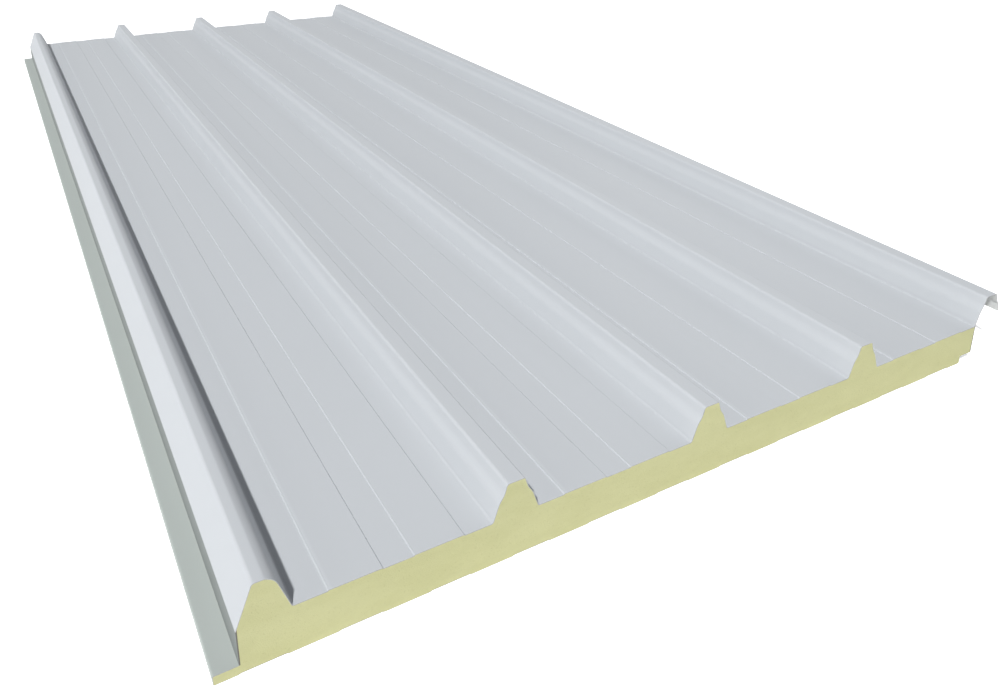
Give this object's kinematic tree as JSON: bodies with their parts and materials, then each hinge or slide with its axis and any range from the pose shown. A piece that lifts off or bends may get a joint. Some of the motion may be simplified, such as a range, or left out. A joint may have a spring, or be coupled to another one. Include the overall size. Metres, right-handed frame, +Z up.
{
  "type": "insulated roof sandwich panel",
  "caption": "Trapezoidal-ribbed insulated roof panel: steel weather sheet, rigid foam core, micro-ribbed steel liner, side-lap overlap rib and tongue.",
  "frame": {"origin": "on the underside of the liner, below the middle rib, at mid length", "axes": "+X across the panel from the foam-filled underlap rib to the empty overlap rib, +Y along the ribs, +Z up to the weather side"},
  "size_m": [1.069, 2.5, 0.0901],
  "materials": {
    "weather_sheet": "satin light grey coil coating",
    "foam": "sawn rigid polyurethane foam, pale yellow-green",
    "liner_sheet": "satin grey-white coil coating",
    "side_tape": "matt grey facing tape"
  },
  "bodies": {
    "root": {"outer_sheet": "weather_sheet", "foam_core": "foam", "inner_sheet": "liner_sheet", "side_tape_left": "side_tape", "side_tape_right": "side_tape"}
  },
  "joints": []
}
